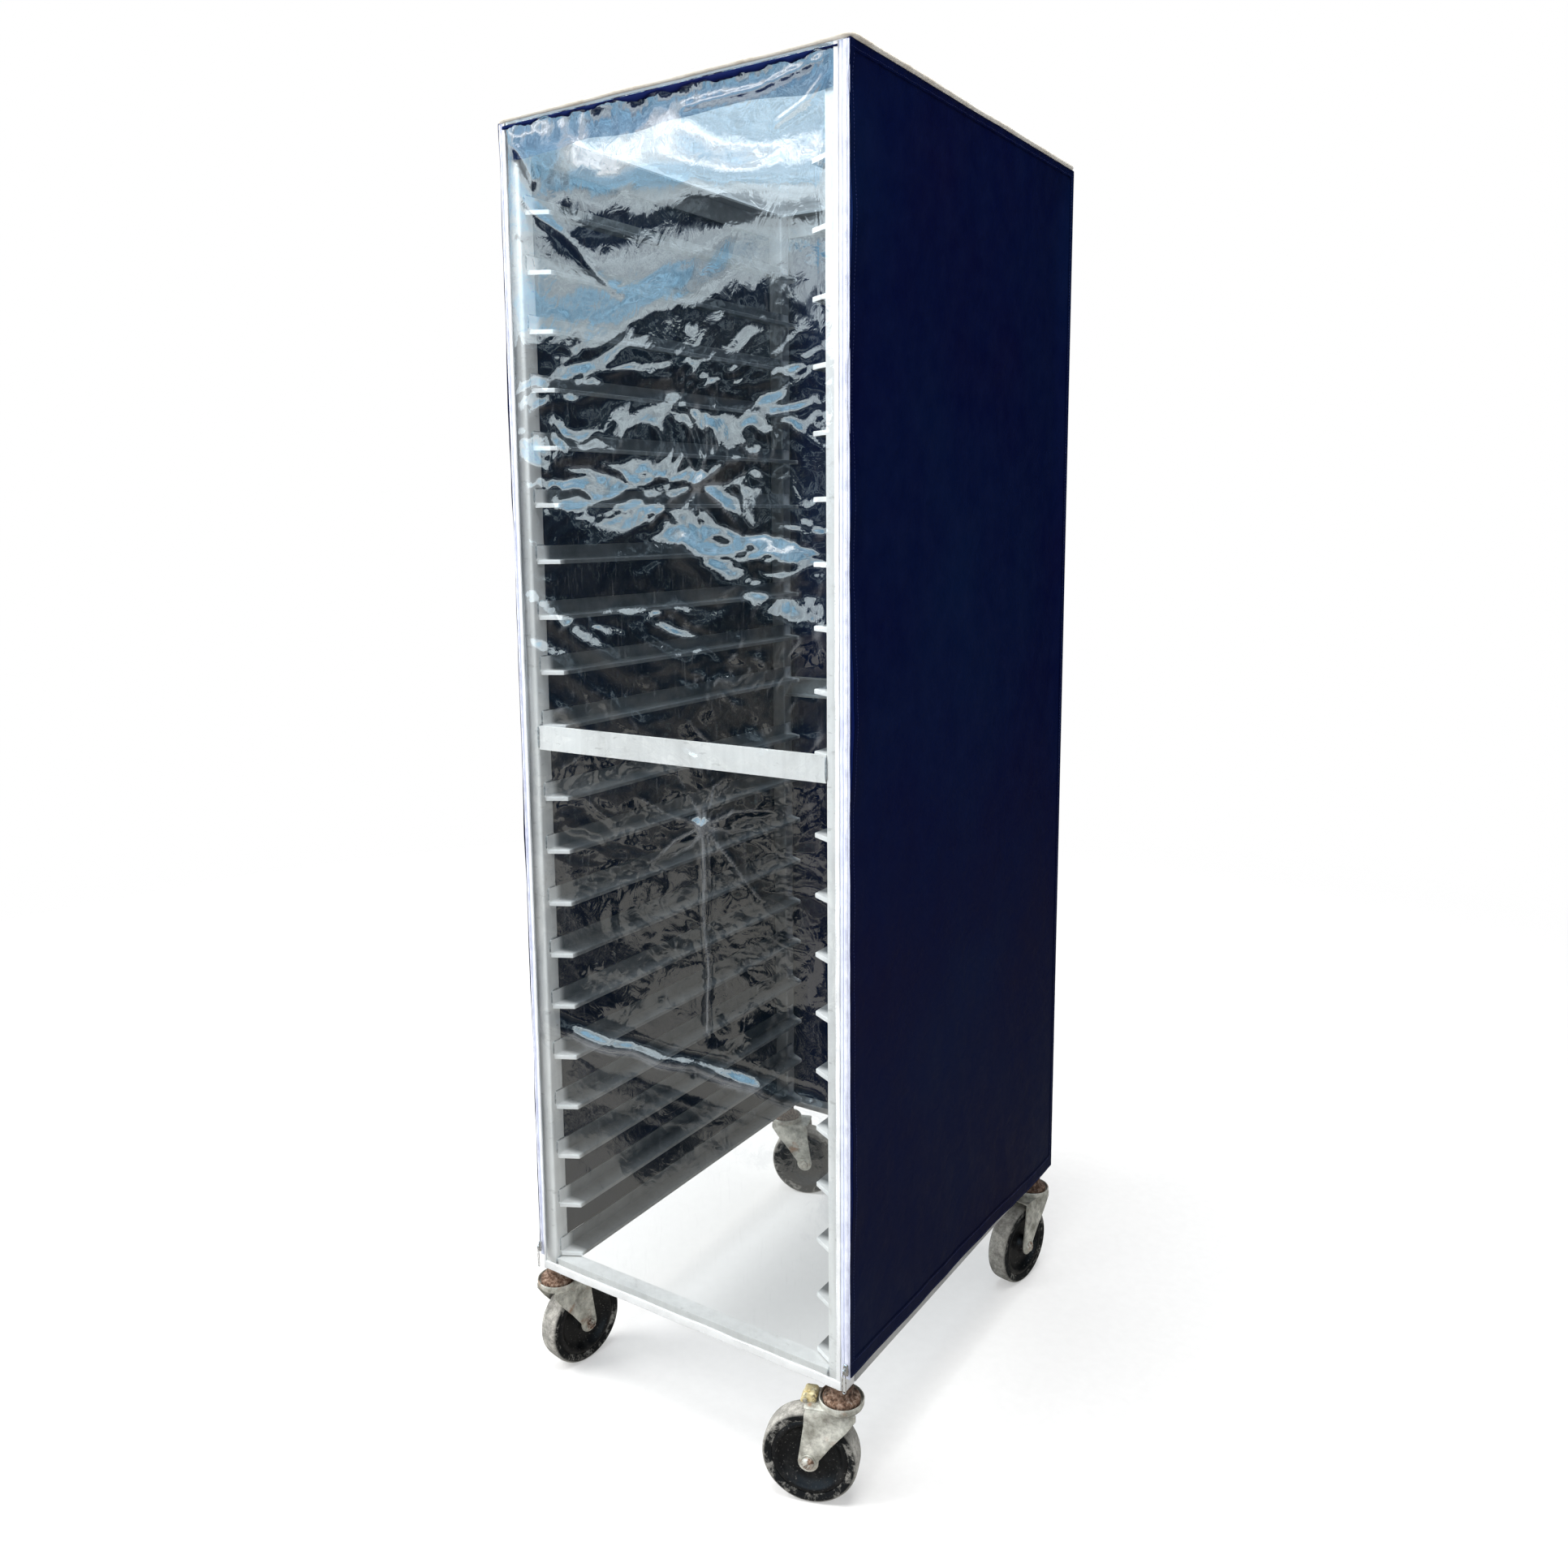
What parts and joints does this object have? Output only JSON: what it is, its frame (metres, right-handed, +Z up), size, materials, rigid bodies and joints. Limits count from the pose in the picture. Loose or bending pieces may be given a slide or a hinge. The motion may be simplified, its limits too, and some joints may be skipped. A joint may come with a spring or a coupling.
{
  "type": "sheet pan rack",
  "caption": "Mobile aluminium bun pan rack on swivel stem casters, in a fitted zip-up cover with clear front and top panels and navy cloth sides.",
  "frame": {"origin": "on the floor, under the middle of the rack", "axes": "+Z up, the clear front panel faces -Y, +X towards the rack's right side as seen from the front"},
  "size_m": [0.5488, 0.7324, 1.7837],
  "materials": {
    "aluminium": "mill-finish square tube and formed sheet, satin, with small dents and welds",
    "navy_fabric": "navy coated cover cloth",
    "clear_vinyl": "clear flexible vinyl, crinkled and glossy",
    "cream_piping": "cream piping",
    "white_binding": "white woven binding",
    "zipper_tape": "pale lavender zipper tape with a white coil",
    "nickel": "nickel-plated zinc",
    "galvanised": "galvanised pressed steel, dull and mottled",
    "rusty_steel": "plated steel with light rust",
    "yellow_zinc": "yellow zinc plate",
    "black_plastic": "moulded black wheel centre",
    "worn_tyre": "black tread, worn and dusty",
    "black_rubber": "plain"
  },
  "bodies": {
    "rack": {"left_side_frame": "aluminium", "right_side_frame": "aluminium", "top_front_rail": "aluminium", "top_rear_rail": "aluminium", "top_left_rail": "aluminium", "top_right_rail": "aluminium", "middle_front_crossbar": "aluminium", "middle_rear_crossbar": "aluminium", "bottom_front_rail": "aluminium", "bottom_rear_rail": "aluminium", "bottom_left_rail": "aluminium", "bottom_right_rail": "aluminium", "left_cover_panel": "navy_fabric", "right_cover_panel": "navy_fabric", "back_cover_panel": "navy_fabric", "top_cover_panel": "clear_vinyl", "front_top_piping": "cream_piping", "back_top_piping": "cream_piping", "left_top_piping": "cream_piping", "right_top_piping": "cream_piping", "left_side_zipper_tape": "zipper_tape", "right_side_zipper_tape": "zipper_tape", "front_right_caster_stem": "rusty_steel", "front_right_stem_expander": "black_rubber", "front_left_caster_stem": "rusty_steel", "front_left_stem_expander": "black_rubber", "rear_right_caster_stem": "rusty_steel", "rear_right_stem_expander": "black_rubber", "rear_left_caster_stem": "rusty_steel", "rear_left_stem_expander": "black_rubber"},
    "front_flap": {"front_clear_panel": "clear_vinyl", "front_panel_binding": "white_binding", "left_flap_zipper_tape": "zipper_tape", "right_flap_zipper_tape": "zipper_tape"},
    "left_slider": {"left_zipper_slider": "nickel"},
    "left_pull": {"left_zipper_pull": "nickel"},
    "right_slider": {"right_zipper_slider": "nickel"},
    "right_pull": {"right_zipper_pull": "nickel"},
    "front_right_swivel": {"front_right_fork": "galvanised", "front_right_axle_bolt": "rusty_steel", "front_right_wheel_bushing": "galvanised"},
    "front_right_wheel": {"front_right_wheel_core": "black_plastic", "front_right_tyre": "worn_tyre"},
    "front_right_brake": {"front_right_brake_lever": "yellow_zinc"},
    "front_left_swivel": {"front_left_fork": "galvanised", "front_left_axle_bolt": "rusty_steel", "front_left_wheel_bushing": "galvanised"},
    "front_left_wheel": {"front_left_wheel_core": "black_plastic", "front_left_tyre": "worn_tyre"},
    "front_left_brake": {"front_left_brake_lever": "yellow_zinc"},
    "rear_right_swivel": {"rear_right_fork": "galvanised", "rear_right_axle_bolt": "rusty_steel", "rear_right_wheel_bushing": "galvanised"},
    "rear_right_wheel": {"rear_right_wheel_core": "black_plastic", "rear_right_tyre": "worn_tyre"},
    "rear_left_swivel": {"rear_left_fork": "galvanised", "rear_left_axle_bolt": "rusty_steel", "rear_left_wheel_bushing": "galvanised"},
    "rear_left_wheel": {"rear_left_wheel_core": "black_plastic", "rear_left_tyre": "worn_tyre"}
  },
  "joints": [
    {"name": "front_flap_lift", "type": "hinge", "parent": "rack", "child": "front_flap", "pos_m": [0, -0.3392, 1.7761], "axis": [-1, 0, 0], "range_deg": [0, 90]},
    {"name": "left_slider_travel", "type": "slide", "parent": "rack", "child": "left_slider", "axis": [0, 0, 1], "range_m": [0, 1.53]},
    {"name": "left_pull_swing", "type": "hinge", "parent": "left_slider", "child": "left_pull", "pos_m": [-0.2647, -0.3464, 0.2075], "axis": [-1, 0, 0], "range_deg": [0, 110]},
    {"name": "right_slider_travel", "type": "slide", "parent": "rack", "child": "right_slider", "axis": [0, 0, 1], "range_m": [0, 1.53]},
    {"name": "right_pull_swing", "type": "hinge", "parent": "right_slider", "child": "right_pull", "pos_m": [0.2647, -0.3464, 0.2075], "axis": [-1, 0, 0], "range_deg": [0, 110]},
    {"name": "front_right_swivel_turn", "type": "hinge", "parent": "rack", "child": "front_right_swivel", "pos_m": [0.2445, -0.3175, 0.15], "axis": [0, 0, 1], "continuous": true},
    {"name": "front_right_wheel_spin", "type": "hinge", "parent": "front_right_swivel", "child": "front_right_wheel", "pos_m": [0.20691, -0.33118, 0.0635], "axis": [0.342, -0.9397, 0], "continuous": true},
    {"name": "front_right_brake_press", "type": "hinge", "parent": "front_right_swivel", "child": "front_right_brake", "pos_m": [0.20174, -0.33306, 0.1426], "axis": [0.342, -0.9397, 0], "range_deg": [0, 25]},
    {"name": "front_left_swivel_turn", "type": "hinge", "parent": "rack", "child": "front_left_swivel", "pos_m": [-0.2445, -0.3175, 0.15], "axis": [0, 0, 1], "continuous": true},
    {"name": "front_left_wheel_spin", "type": "hinge", "parent": "front_left_swivel", "child": "front_left_wheel", "pos_m": [-0.23755, -0.27811, 0.0635], "axis": [-0.9848, 0.1736, 0], "continuous": true},
    {"name": "front_left_brake_press", "type": "hinge", "parent": "front_left_swivel", "child": "front_left_brake", "pos_m": [-0.2366, -0.27269, 0.1426], "axis": [-0.9848, 0.1736, 0], "range_deg": [0, 25]},
    {"name": "rear_right_swivel_turn", "type": "hinge", "parent": "rack", "child": "rear_right_swivel", "pos_m": [0.2445, 0.3175, 0.15], "axis": [0, 0, 1], "continuous": true},
    {"name": "rear_right_wheel_spin", "type": "hinge", "parent": "rear_right_swivel", "child": "rear_right_wheel", "pos_m": [0.23755, 0.27811, 0.0635], "axis": [0.9848, -0.1736, 0], "continuous": true},
    {"name": "rear_left_swivel_turn", "type": "hinge", "parent": "rack", "child": "rear_left_swivel", "pos_m": [-0.2445, 0.3175, 0.15], "axis": [0, 0, 1], "continuous": true},
    {"name": "rear_left_wheel_spin", "type": "hinge", "parent": "rear_left_swivel", "child": "rear_left_wheel", "pos_m": [-0.20691, 0.33118, 0.0635], "axis": [-0.342, 0.9397, 0], "continuous": true}
  ]
}
